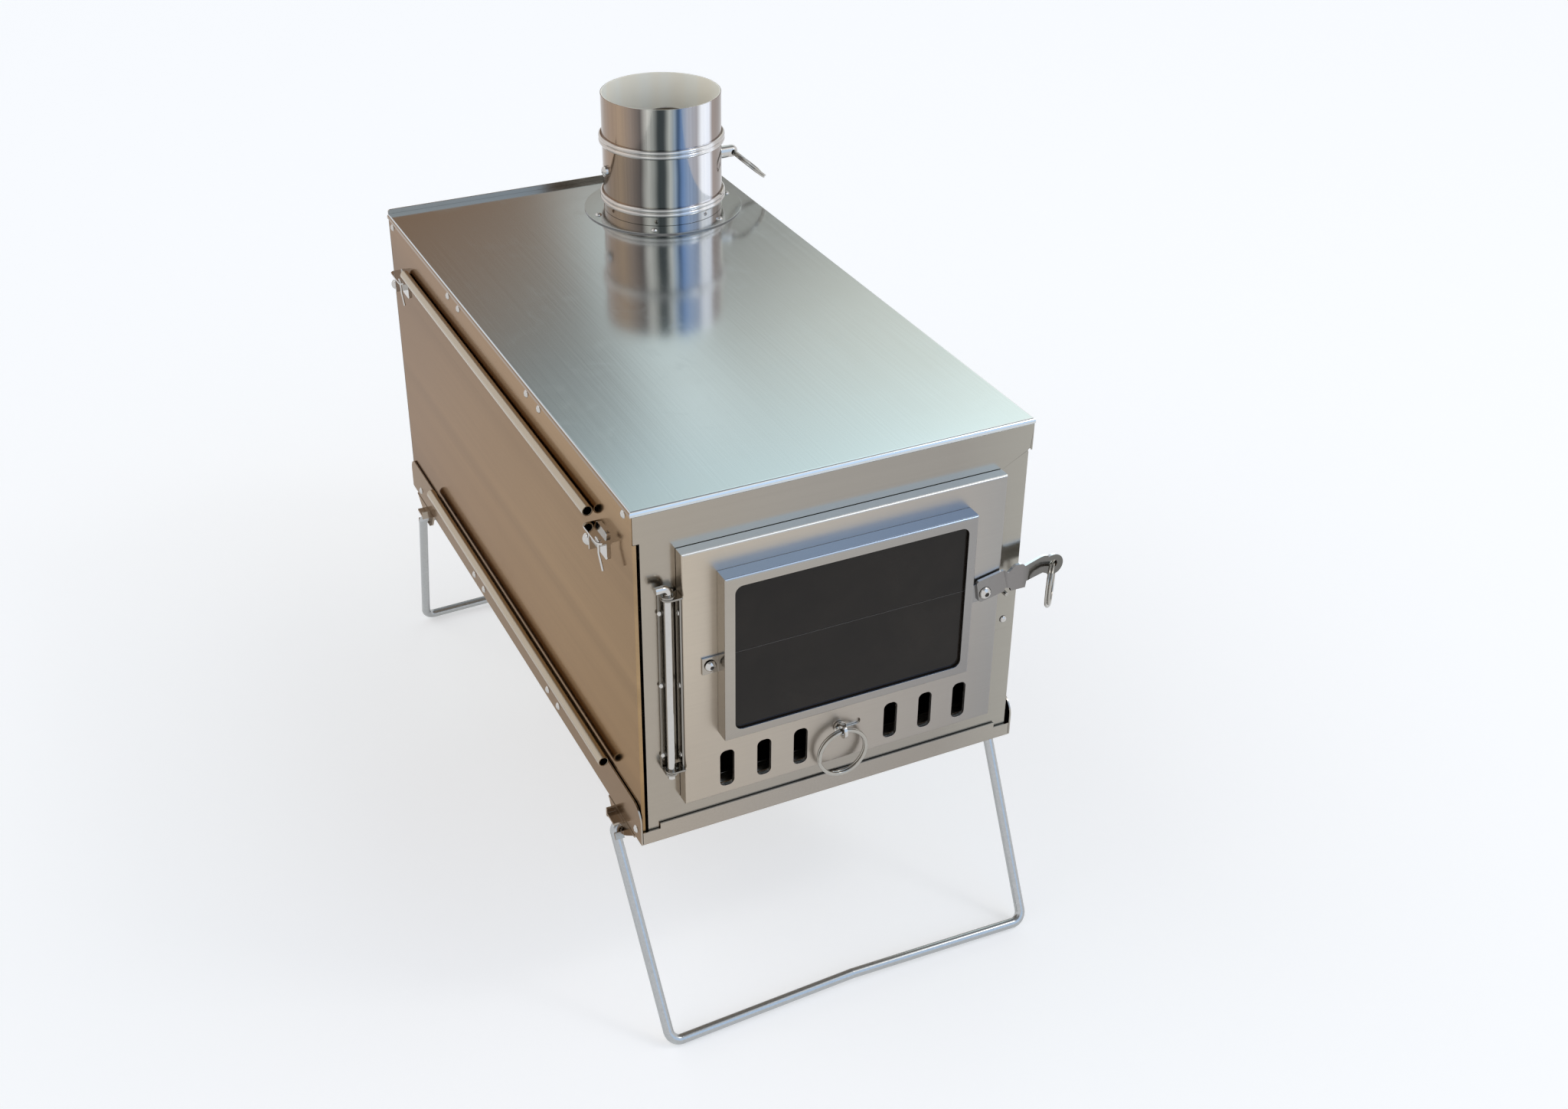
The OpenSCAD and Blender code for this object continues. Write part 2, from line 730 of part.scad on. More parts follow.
module air_slider() {
  row = slot_start + 2 * slot_pitch + slot_w / 2;
  low = slot_z - slider_h / 2;
  color(steel) placed() difference() {
    span([slot_x - row - slider_travel - 1.5, slider_y, low],
      [slot_x + row + 2, slider_y + slider_t, low + slider_h]);
    air_slots(slider_y, 4);
  }
}

module slider_eye() {
  color(steel) placed() {
    // post through the door's slot, with a shoulder in front of it
    upright([eye_x, slider_y - 0.02, eye_z]) cylinder(r = 1.6, h = 2.2);
    upright([eye_x, -door_d - 0.3, eye_z]) cylinder(r = 3.2, h = 0.9);
    translate([eye_x, eye_y, eye_z]) rotate([0, 90, 0]) difference() {
      cylinder(r = 3.7, h = 1.6, center = true);
      cylinder(r = 2.3, h = 4, center = true);
    }
  }
}

module air_ring() {
  color(steel) placed() upright([eye_x, eye_y, eye_z]) split_ring(air_ring_r);
}

// ---------- door hinge ----------

// an ear that stands out round the pin
module ear(a, b) {
  span([a[0], a[1], a[2]], [b[0], b[1], a[2] + ear_t]);
  translate([hinge_x, hinge_y, a[2]]) cylinder(r = 3.3, h = ear_t);
}

module pin_hole() { translate([hinge_x, hinge_y, 0]) cylinder(r = hinge_r + run_gap, h = 200); }

module body_hinge_leaf() {
  low = hinge_low - ear_t - 0.2;
  high = hinge_high + ear_t + 0.2;
  color(steel) placed() difference() {
    union() {
      span([hinge_x - 3.3, -1 - slip, low], [hinge_x + 1, -slip, high]);
      for (z = [low, high - ear_t]) ear([hinge_x - 3.3, hinge_y, z], [hinge_x + 3.3, -slip]);
    }
    pin_hole();
  }
}

module door_hinge_leaf() {
  plate_x = door_left - slip;
  color(steel) placed() difference() {
    union() {
      span([plate_x - 0.9, -door_d + 1, hinge_low], [plate_x, -1.2, hinge_high]);
      for (z = [hinge_low, hinge_high - ear_t])
        ear([hinge_x, hinge_y - 3.3, z], [plate_x, hinge_y + 3.3]);
    }
    pin_hole();
  }
}

module hinge_pin() {
  top = hinge_high + ear_t + 0.6;
  color(steel) placed() {
    translate([hinge_x, hinge_y, hinge_low - 4]) cylinder(r = hinge_r, h = top - hinge_low + 4);
    // the end that is bent over the upper ear
    upright([hinge_x, hinge_y, top]) bent_rod([[0, -eps], [0, 3], [-6, 3]], hinge_r, [0, 2.6, 0]);
  }
}

module body_hinge_rivets() {
  color(steel) placed() for (z = hinge_rivet_rows)
    upright([hinge_x - 2.2, -1 - slip, z]) dome(1.6, 1.1);
}

module door_hinge_rivets() {
  color(steel) placed() for (z = hinge_rivet_rows)
    translate([door_left - slip - 0.9, -3.6, z]) rotate([0, -90, 0]) dome(1.7, 0.9);
}

// ---------- latch ----------

module latch_lever() {
  block = [11.5, 21.8];
  color(steel) placed() translate([latch_x, lever_y, latch_z]) rotate([0, -latch_angle, 0])
    rotate([90, 0, 0]) difference() {
      linear_extrude(lever_t) {
        translate([1, 1]) circle(6);
        polygon([[0, -5], [block[0], -4], [block[1], -4], [latch_len, -3.6],
          [latch_len, 3.6], [block[1], 4.6], [block[0], 6.4], [1, 7]]);
        translate([block[0], -3.9]) square([block[1] - block[0], 11.2]);
        translate([latch_len, 0]) circle(4.8);
      }
      translate([0, 0, -1]) cylinder(r = 2.2 + run_gap, h = 4);
      translate([latch_len, 0, -1]) cylinder(r = lever_hole_r, h = 4);
    }
}

module latch_screw() {
  color(steel) placed() upright([latch_x, lever_y, latch_z]) {
    translate([0, 0, -2.2]) cylinder(r = 1.45, h = 3);
    translate([0, 0, 0.02]) cylinder(r = 2.2, h = lever_t + 0.13);
    translate([0, 0, lever_t + 0.15]) button_screw(3.4, 2, 1.3);
  }
}

module latch_ring() {
  color(steel) placed() translate([latch_tip[0], lever_y - lever_t / 2, latch_tip[1]])
    rotate([90, 0, 90 - ring_turn]) split_ring(latch_ring_r);
}

module latch_catch() {
  hw = 4.8;
  lip_y = lever_y - lever_t - 1.7;
  color(steel) placed() difference() {
    union() {
      span([catch_x - hw, -1 - slip, 70], [catch_x + hw, -slip, shelf_z + 1]);
      span([catch_x - hw, lip_y - 1, shelf_z], [catch_x + hw, -slip, shelf_z + 1]);
      span([catch_x - hw, lip_y - 1, shelf_z], [catch_x + hw, lip_y, shelf_z + 4]);
    }
    upright([catch_x, 1, 88.6]) cylinder(r = 1.6, h = 4);
  }
}

module catch_rivet() {
  color(steel) placed() upright([catch_x, -1 - slip, 75.5]) dome(2, 1.2);
}

// ---------- legs ----------

// a leg in its own plane: x across the stove, y down the leg from its pivots
module leg_wire(length) {
  arch = 3;
  half = [[tray_hw - 6, 0], [leg_x, 0], [foot_x, length]];
  left = [for (p = half) [-p[0], p[1]]];
  right = [for (i = [len(half) - 1:-1:0]) half[i]];
  bent_rod(concat(left, [[0, length - arch]], right), wire_d / 2,
    [0, leg_bend, 6, 0, 6, leg_bend, 0]);
}

module leg(pivot_y, run, side) {
  lean = atan2(leg_drop, run);
  color(steel) placed() translate([0, pivot_y, -pivot_drop])
    rotate([side < 0 ? lean - 180 : -lean, 0, 0]) leg_wire(norm([leg_drop, run]));
}

module front_leg() { leg(front_pivot, front_run, -1); }
module rear_leg() { leg(rear_pivot, rear_run, 1); }

// an angle under the tray that carries one end of the left leg; y runs to the back
module leg_bracket(lean) {
  face = -tray_hw;
  under = -slip;
  color(steel) difference() {
    union() {
      translate([face, 0, 0]) rotate([90, 0, 90]) linear_extrude(bracket_t) {
        polygon([[-20, under], [-9, -8.5], [-3, -12.6], [3, -12.6], [8, -9.5], [14, under]]);
        translate([0, -pivot_drop]) circle(4.6);
      }
      span([face, -20, under - bracket_t], [face + 14, 14, under]);
      // lugs on both sides of the pivot, the lower one stops the leg
      translate([face - 4.6, 4.5, -pivot_drop + 2.8]) cube([4.7, 1.2, 5]);
      translate([face - 4.6, -4.5, -pivot_drop + 4]) cube([4.7, 10.2, 1.2]);
      translate([0, 0, -pivot_drop]) rotate([lean - 180, 0, 0])
        span([face - 4.6, 3, -wire_d / 2 - 1.35], [face + 0.1, 6.5, -wire_d / 2 - 0.15]);
    }
    translate([-tray_hw - 1, 0, -pivot_drop]) rotate([0, 90, 0])
      cylinder(r = wire_d / 2 + run_gap, h = 20);
  }
}

front_lean = atan2(leg_drop, front_run);
rear_lean = atan2(leg_drop, rear_run);

module front_left_bracket() { placed() translate([0, front_pivot, 0]) leg_bracket(front_lean); }
module front_right_bracket() {
  placed() mirror([1, 0, 0]) translate([0, front_pivot, 0]) leg_bracket(front_lean);
}
module rear_left_bracket() {
  placed() translate([0, rear_pivot, 0]) mirror([0, 1, 0]) leg_bracket(rear_lean);
}
module rear_right_bracket() {
  placed() mirror([1, 0, 0]) translate([0, rear_pivot, 0]) mirror([0, 1, 0]) leg_bracket(rear_lean);
}

// heads under the brackets' flanges
module bracket_rivets() {
  color(steel) placed() left_and_right() for (y = [front_pivot, rear_pivot], d = [-10, 8])
    translate([-tray_hw + 10, y == front_pivot ? y + d : y - d, -slip - bracket_t])
      rotate([180, 0, 0]) dome(2, 1.2);
}

top_panel();
front_panel();
left_side_panel();
right_side_panel();
back_panel();
bottom_tray();
left_hinge_strips();
right_hinge_strips();
left_rivets();
right_rivets();
fire_grate();
flue_collar();
collar_rivets();
damper_section();
damper_shaft();
damper_plate();
damper_fasteners();
damper_ring();
upper_left_tube();
lower_left_tube();
upper_right_tube();
lower_right_tube();
left_rack_clips();
right_rack_clips();
left_clip_hooks();
right_clip_hooks();
door_panel();
window_frame();
upper_glass();
lower_glass();
glass_gasket();
glass_clamps();
window_screw();
slider_guides();
air_slider();
slider_eye();
air_ring();
body_hinge_leaf();
door_hinge_leaf();
hinge_pin();
body_hinge_rivets();
door_hinge_rivets();
latch_lever();
latch_screw();
latch_ring();
latch_catch();
catch_rivet();
front_leg();
rear_leg();
front_left_bracket();
front_right_bracket();
rear_left_bracket();
rear_right_bracket();
bracket_rivets();
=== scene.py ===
"""Looks of the tent stove: materials, light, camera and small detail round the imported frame."""

import math

import bmesh
import bpy
import numpy as np
from mathutils import Matrix, Vector


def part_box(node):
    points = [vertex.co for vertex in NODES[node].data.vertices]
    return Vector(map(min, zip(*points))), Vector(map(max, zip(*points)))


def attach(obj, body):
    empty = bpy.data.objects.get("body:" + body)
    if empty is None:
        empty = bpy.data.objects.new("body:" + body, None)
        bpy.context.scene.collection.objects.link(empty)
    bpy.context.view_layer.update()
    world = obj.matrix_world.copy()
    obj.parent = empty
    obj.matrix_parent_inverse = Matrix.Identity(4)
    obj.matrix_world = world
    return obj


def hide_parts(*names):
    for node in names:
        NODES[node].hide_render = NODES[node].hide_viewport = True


MM = 0.001
IMAGE = (2048, 1448)         # the photograph's width and height in pixels

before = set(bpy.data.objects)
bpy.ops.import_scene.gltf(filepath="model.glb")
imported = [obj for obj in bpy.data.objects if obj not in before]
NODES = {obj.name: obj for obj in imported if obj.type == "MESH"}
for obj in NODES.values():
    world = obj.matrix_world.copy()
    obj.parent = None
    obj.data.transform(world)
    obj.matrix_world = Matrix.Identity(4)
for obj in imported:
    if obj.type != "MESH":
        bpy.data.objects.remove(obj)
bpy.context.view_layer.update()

# where the body's own origin lies: middle of the front panel's face at the tray's underside
TRAY_LOW, TRAY_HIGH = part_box("bottom_tray")
ORIGIN = Vector(((TRAY_LOW.x + TRAY_HIGH.x) / 2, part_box("front_panel")[0].y, TRAY_LOW.z))
PIPE_LOW, PIPE_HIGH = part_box("damper_section")
PIPE_MIDDLE = (PIPE_LOW + PIPE_HIGH) / 2


def at(x, y, z):
    """A point by its millimetres across, behind the front panel and above the tray."""
    return ORIGIN + Vector((x, y, z)) * MM


# ---------- camera ----------

# directions in the frame, place in millimetres, and the lens in pixels of the photograph
VIEW_RIGHT = Vector((0.9048, -0.4259, 0.0016))
VIEW_FORWARD = Vector((0.3664, 0.7766, -0.5125))
CAMERA_AT = (-348.5, -637.6, 593.9)
FOCAL_PX = 2413.4
CENTRE_PX = (974.7, 667.9)
SENSOR = 36


def make_camera():
    camera = bpy.data.cameras.new("camera")
    forward = VIEW_FORWARD.normalized()
    right = (VIEW_RIGHT - forward * VIEW_RIGHT.dot(forward)).normalized()
    up = right.cross(forward)
    camera.sensor_width = SENSOR
    camera.lens = SENSOR * FOCAL_PX / IMAGE[0]
    camera.shift_x = (IMAGE[0] / 2 - CENTRE_PX[0]) / IMAGE[0]
    camera.shift_y = (CENTRE_PX[1] - IMAGE[1] / 2) / IMAGE[0]
    camera.clip_start = 0.01
    holder = bpy.data.objects.new("camera", camera)
    bpy.context.scene.collection.objects.link(holder)
    turn = Matrix((right, up, -forward)).transposed()
    holder.matrix_world = Matrix.Translation(at(*CAMERA_AT)) @ turn.to_4x4()
    bpy.context.scene.camera = holder


# ---------- node trees ----------

class Tree:
    """A short way to write a material's or a world's nodes."""

    def __init__(self, owner):
        owner.use_nodes = True
        self.nodes = owner.node_tree.nodes
        self.links = owner.node_tree.links
        self.nodes.clear()

    def add(self, kind, inputs=(), **settings):
        node = self.nodes.new("ShaderNode" + kind)
        for key, value in settings.items():
            setattr(node, key, value)
        for key, value in dict(inputs).items():
            self.put(node.inputs[key], value)
        return node

    def put(self, socket, value):
        if hasattr(value, "is_output"):
            self.links.new(value, socket)
        elif hasattr(value, "outputs"):
            self.links.new(value.outputs[0], socket)
        else:
            socket.default_value = value

    def math(self, operation, a, b=0.0):
        return self.add("Math", {0: a, 1: b}, operation=operation).outputs[0]

    def scaled(self, value, factor, plus):
        """A value times a factor, plus another value."""
        inputs = {0: value, 1: factor, 2: plus}
        return self.add("Math", inputs, operation="MULTIPLY_ADD").outputs[0]

    def fade(self, value, start, end):
        """0 where a value is at its start, 1 at its end, and smooth between."""
        inputs = {"Value": value, "From Min": start, "From Max": end}
        return self.add("MapRange", inputs, interpolation_type="SMOOTHSTEP").outputs[0]

    def mix(self, factor, a, b, blend="MIX"):
        node = self.add("Mix", data_type="RGBA", blend_type=blend)
        self.put(node.inputs[0], factor)
        self.put(node.inputs[6], a)
        self.put(node.inputs[7], b)
        return node.outputs[2]

    def ramp(self, factor, stops):
        node = self.add("ValToRGB", {0: factor})
        elements = node.color_ramp.elements
        while len(elements) < len(stops):
            elements.new(0.5)
        for element, (position, colour) in zip(elements, stops):
            element.position = position
            element.color = colour if len(colour) == 4 else (*colour, 1)
        return node.outputs[0]

    def noise(self, vector, scale, detail=3.0, rough=0.5, distortion=0.0):
        return self.add("TexNoise", {
            "Vector": vector, "Scale": scale, "Detail": detail,
            "Roughness": rough, "Distortion": distortion,
        }).outputs[0]

    def stretched(self, scale):
        """Object coordinates, stretched by a scale for each axis."""
        place = self.add("TexCoord").outputs["Object"]
        return self.add("Mapping", {"Vector": place, "Scale": scale}).outputs[0]


def grey(value):
    return (value, value, value, 1)


def solid(colour):
    return (*colour, 1)


def surface(tree, **inputs):
    shader = tree.add("BsdfPrincipled", inputs)
    out = tree.add("OutputMaterial")
    tree.put(out.inputs["Surface"], shader.outputs[0])


# ---------- materials ----------

def drift(tree, place, stops, axis=0):
    """A slow change of tone along one axis, as tints at millimetres from the origin."""
    along = tree.add("SeparateXYZ", {0: place}).outputs[axis]
    first, last = stops[0][0], stops[-1][0]
    share = tree.add("MapRange", {
        "Value": along,
        "From Min": ORIGIN[axis] + first * MM, "From Max": ORIGIN[axis] + last * MM,
    })
    return tree.ramp(share, [((at_mm - first) / (last - first), tint) for at_mm, tint in stops])


FACING = 0.7                 # how much of a normal points up or sideways on such a face
WIDE_SCALE = 0.11            # scale of the brushing's wide strokes, against its fine lines
WIDE_SHARE = 0.35            # how much the wide strokes even out the fine lines
BAND_SCALE = 0.028           # scale of the wide soft streaks, against the fine lines
STAIN = (0.93, 0.90, 0.86)   # what a stain leaves of the metal's colour
RELIEF = 0.03 * MM           # depth of the brushing


def steel(name, colour, rough, grain, smudge=0.5, streak=0.06, bump=0.25, blotch=9.0,
          tints=(), bands=0.0, painted_sky_on_top=None, painted_side_reflection=None, grazing=(1, 1, 1)):
    """Brushed or drawn stainless sheet. grain is the scale along each axis: small along
    the brushing, large across it. tints are slow drifts of tone, painted reflection and
    shade, and bands the strength of wide soft streaks along the brushing. The colour for
    faces that point up is a painted reflection of the sky, the colour for faces that point
    sideways a painted warm reflection, and grazing the tint at a glancing angle."""
    material = bpy.data.materials.new(name)
    t = Tree(material)
    place = t.stretched((1, 1, 1))
    brushed = t.stretched(grain)
    lines = t.noise(brushed, 1.0, 4, 0.6)
    wide = t.noise(brushed, WIDE_SCALE, 2, 0.5)
    clouds = t.noise(place, blotch, 4, 0.55, 0.4)
    prints = t.noise(place, blotch * 5, 3, 0.6, 1.2)
    dark = tuple(c * (1 - streak) for c in colour)
    light = tuple(min(1.0, c * (1 + streak)) for c in colour)
    base = t.ramp(lines, [(0.25, dark), (0.75, light)])
    base = t.mix(t.math("MULTIPLY", wide, WIDE_SHARE), base, solid(colour))
    stain = tuple(c * k for c, k in zip(colour, STAIN))
    base = t.mix(t.ramp(clouds, [(0.45, grey(0)), (0.78, grey(smudge))]), base, solid(stain))
    for axis, stops in tints:
        base = t.mix(1.0, base, drift(t, place, stops, axis), "MULTIPLY")
    if bands > 0:
        soft = t.noise(t.stretched(tuple(k * BAND_SCALE for k in grain)), 1.0, 2, 0.5, 0.3)
        tone = t.ramp(soft, [(0.32, grey(1 - bands)), (0.66, grey(1 + bands))])
        base = t.mix(1.0, base, tone, "MULTIPLY")
    normal = t.add("SeparateXYZ", {0: t.add("NewGeometry").outputs["True Normal"]})
    # painted reflection of the sky: faces that point up take a paler or bluer colour
    if painted_sky_on_top:
        upward = t.math("GREATER_THAN", normal.outputs[2], FACING)
        base = t.mix(upward, base, solid(painted_sky_on_top))
    # painted warm reflection: faces that point sideways take a brown colour
    if painted_side_reflection:
        sideways = t.math("GREATER_THAN", t.math("ABSOLUTE", normal.outputs[0]), FACING)
        base = t.mix(sideways, base, solid(painted_side_reflection))
    # the roughness changes with the brushing, the clouds of smudges and the fingerprints
    finger = t.ramp(prints, [(0.56, grey(0)), (0.72, grey(1))])
    lined = t.scaled(lines, rough * 0.35, rough * 0.78)
    cloudy = t.scaled(clouds, rough * 0.45, lined)
    roughness = t.scaled(finger, 0.05 * smudge, t.math("SUBTRACT", cloudy, rough * 0.2))
    relief = t.add("Bump", {"Strength": bump, "Distance": RELIEF, "Height": lines})
    surface(t, **{
        "Base Color": base, "Metallic": 1.0, "Roughness": roughness,
        "Normal": relief.outputs[0], "Specular Tint": solid(grazing),
    })
    return material


# the flue section, in millimetres
PIPE_R = 35.0                # outside radius of its wall
BEAD_FROM = PIPE_R + 0.5     # what is farther from the axis belongs to a bead
INNER_TO = PIPE_R - 0.35     # what is nearer is the inner wall
# the beads are painted paler and more neutral than the streaks: a painted highlight
BEAD_COLOUR, BEAD_SHARE = (0.80, 0.79, 0.76), 0.45
# the inner wall's pale tones are a painted reflection of the bright sky; its roughness and
# dullness make it take light like a rough surface
INNER_TONES = [(0.38, (0.60, 0.54, 0.45)), (0.48, (1.0, 0.94, 0.80)), (0.60, (1.0, 0.98, 0.88))]
INNER_ROUGH, INNER_DULLNESS = 0.5, 0.92    # roughness, and how much less of a metal it is
# the azimuth in degrees that the camera looks along, and the reflections painted as streaks round
# the tube, in degrees from the side turned towards the camera
PIPE_VIEW_AZIMUTH = 64.8
STREAK_SWAY = 0.22           # how far a streak wanders round the tube, in radians
PIPE_PAINTED_REFLECTIONS = [
    (-175, (0.40, 0.37, 0.33)), (-140, (0.70, 0.68, 0.64)), (-110, (0.24, 0.21, 0.18)),
    (-80, (0.26, 0.19, 0.14)), (-56, (0.35, 0.25, 0.18)), (-40, (0.40, 0.29, 0.20)),
    (-28, (0.28, 0.22, 0.18)), (-18, (0.14, 0.12, 0.11)), (-11, (0.62, 0.60, 0.54)),
    (-6, (0.42, 0.42, 0.38)), (-1, (0.06, 0.07, 0.07)), (5, (0.08, 0.09, 0.09)),
    (10, (0.66, 0.66, 0.60)), (15, (0.40, 0.42, 0.43)), (18, (0.08, 0.11, 0.16)),
    (22, (0.24, 0.31, 0.43)), (28, (0.42, 0.43, 0.48)), (38, (0.40, 0.38, 0.39)),
    (44, (0.96, 0.97, 1.0)), (54, (0.92, 0.94, 1.0)), (60, (0.34, 0.28, 0.25)),
    (84, (0.22, 0.17, 0.14)), (112, (0.60, 0.58, 0.54)), (145, (0.26, 0.26, 0.27)),
    (175, (0.40, 0.37, 0.33)),
]


def rolled_pipe(name):
    """Bright rolled tube: reflections painted as tinted streaks down its length, laid out by
    their angle from the side turned towards the camera; beads painted paler, a painted
    highlight; and a duller inner wall whose pale tones are a painted reflection of the sky."""
    material = bpy.data.materials.new(name)
    t = Tree(material)
    place = t.stretched((1, 1, 1))
    from_axis = t.add("VectorMath", {0: place, 1: tuple(PIPE_MIDDLE)}, operation="SUBTRACT")
    flat = t.add("VectorMath", {0: from_axis, 1: (1, 1, 0)}, operation="MULTIPLY")
    radius = t.add("VectorMath", {0: flat}, operation="LENGTH").outputs["Value"]
    around = t.add("VectorMath", {0: flat}, operation="NORMALIZE").outputs[0]
    thin = t.noise(around, 24.0, 3, 0.6)
    sway = t.noise(place, 11.0, 2, 0.5)
    to_view_side = {"Vector": around, "Angle": math.radians(180 - PIPE_VIEW_AZIMUTH)}
    from_view_side = t.add("VectorRotate", to_view_side, rotation_type="Z_AXIS").outputs[0]
    axes = t.add("SeparateXYZ", {0: from_view_side})
    angle = t.math("ARCTAN2", axes.outputs[1], axes.outputs[0])
    off = t.math("MULTIPLY", t.math("SUBTRACT", sway, 0.5), STREAK_SWAY)
    swayed = t.math("ADD", angle, off)
    turn = t.add("MapRange", {"Value": swayed, "From Min": -math.pi, "From Max": math.pi})
    # painted reflections: tones by angle from the side turned towards the camera
    streaks = t.ramp(turn, [(0.5 + degrees / 360, tone) for degrees, tone in PIPE_PAINTED_REFLECTIONS])
    fine = t.ramp(thin, [(0.3, grey(0.86)), (0.7, grey(1.0))])
    outer = t.mix(1.0, streaks, fine, "MULTIPLY")
    wide = t.noise(around, 1.3, 2, 0.5)
    inner = t.ramp(wide, INNER_TONES)
    bead = t.math("GREATER_THAN", radius, BEAD_FROM * MM)
    outer = t.mix(t.math("MULTIPLY", bead, BEAD_SHARE), outer, solid(BEAD_COLOUR))
    inside = t.math("LESS_THAN", radius, INNER_TO * MM)
    base = t.mix(inside, outer, inner)
    polish = t.ramp(thin, [(0.3, grey(0.07)), (0.7, grey(0.13))])
    rough = t.mix(inside, polish, grey(INNER_ROUGH))
    metal = t.math("SUBTRACT", 1.0, t.math("MULTIPLY", inside, INNER_DULLNESS))
    surface(t, **{"Base Color": base, "Metallic": metal, "Roughness": rough})
    return material


# painted highlight on the panes' upper and lower edge faces
GLASS_EDGE_HIGHLIGHT = (0.12, 0.11, 0.10)
GLASS_EDGE_FROM = 0.3        # how steep a face of the pane counts as its edge, which is painted lighter


def plain_glass(name):
    """Smoked glass, whose upper and lower edge faces are painted lighter: a painted highlight
    along the seam between the panes.
    """
    material = bpy.data.materials.new(name)
    t = Tree(material)
    place = t.stretched((1, 1, 1))
    soot = t.noise(place, 22.0, 5, 0.65, 0.5)
    haze = t.ramp(soot, [(0.3, (0.010, 0.007, 0.005)), (0.8, (0.024, 0.018, 0.013))])
    normal = t.add("NewGeometry").outputs["True Normal"]
    upward = t.add("SeparateXYZ", {0: normal}).outputs[2]
    edge = t.math("GREATER_THAN", t.math("ABSOLUTE", upward), GLASS_EDGE_FROM)
    base = t.mix(edge, haze, solid(GLASS_EDGE_HIGHLIGHT))
    rough = t.ramp(soot, [(0.3, grey(0.035)), (0.8, grey(0.11))])
    surface(t, **{
        "Base Color": base, "Roughness": rough, "IOR": 1.5,
        "Transmission Weight": 0.15, "Specular IOR Level": 0.17,
    })
    return material


def fibre(name):
    """Woven gasket cord."""
    material = bpy.data.materials.new(name)
    t = Tree(material)
    weave = t.noise(t.stretched((900, 900, 2600)), 1.0, 2)
    base = t.ramp(weave, [(0.3, (0.32, 0.31, 0.28)), (0.7, (0.55, 0.53, 0.48))])
    relief = t.add("Bump", {"Strength": 0.5, "Distance": 0.0002, "Height": weave})
    surface(t, **{
        "Base Color": base, "Roughness": 0.95, "Normal": relief.outputs[0],
        "Sheen Weight": 0.2,
    })
    return material


ACROSS_X = (6, 900, 900)     # brushed along X
ACROSS_Y = (900, 6, 900)     # brushed along Y
TURNED = (700, 700, 700)     # small turned or drawn pieces

# slow drifts of tone, painted reflection and shade: the axis, then tints at millimetres along it
# front and tray: painted reflection, lighter and warmer to the left, cooler to the right
WIDE_TINTS = [(0, [
    (-103, (1.12, 1.08, 1.02)), (-20, (1.0, 1.0, 1.0)), (60, (0.94, 0.95, 0.96)),
    (103, (1.08, 1.12, 1.12)),
])]
# door and window frame: painted reflection and shade, darker and bluer to the right and darker
# towards the bottom
DOOR_TINTS = [(0, [
    (-82, (1.08, 1.04, 0.97)), (0, (0.96, 0.96, 0.96)), (60, (0.82, 0.84, 0.88)),
    (86, (0.72, 0.77, 0.84)),
]), (2, [
    (0, (0.84, 0.84, 0.85)), (60, (0.90, 0.90, 0.91)), (110, (1.0, 1.0, 1.0)),
    (180, (1.0, 1.0, 1.0)),
])]
# side panels: painted reflection and shade, darker and warmer towards the bottom and the back,
# lighter at the front
SIDE_TINTS = [(2, [
    (0, (0.80, 0.74, 0.62)), (60, (1.0, 0.97, 0.88)), (105, (1.12, 1.12, 1.09)),
    (150, (0.94, 0.95, 0.98)), (186, (1.04, 1.06, 1.08)),
]), (1, [
    (0, (1.30, 1.32, 1.22)), (110, (1.34, 1.36, 1.28)), (230, (1.20, 1.20, 1.16)),
    (330, (1.04, 1.02, 1.0)), (440, (0.90, 0.84, 0.76)),
])]
# lever: painted shade, darker towards its bent outer end
LEVER_TINTS = [(0, [
    (70, (1.0, 1.0, 1.0)), (96, (0.94, 0.92, 0.92)), (100, (0.72, 0.72, 0.70)),
    (120, (0.64, 0.64, 0.60)),
])]
# the warm reflection painted on faces that point sideways
SIDE_REFLECTION_BROWN = (0.27, 0.18, 0.11)

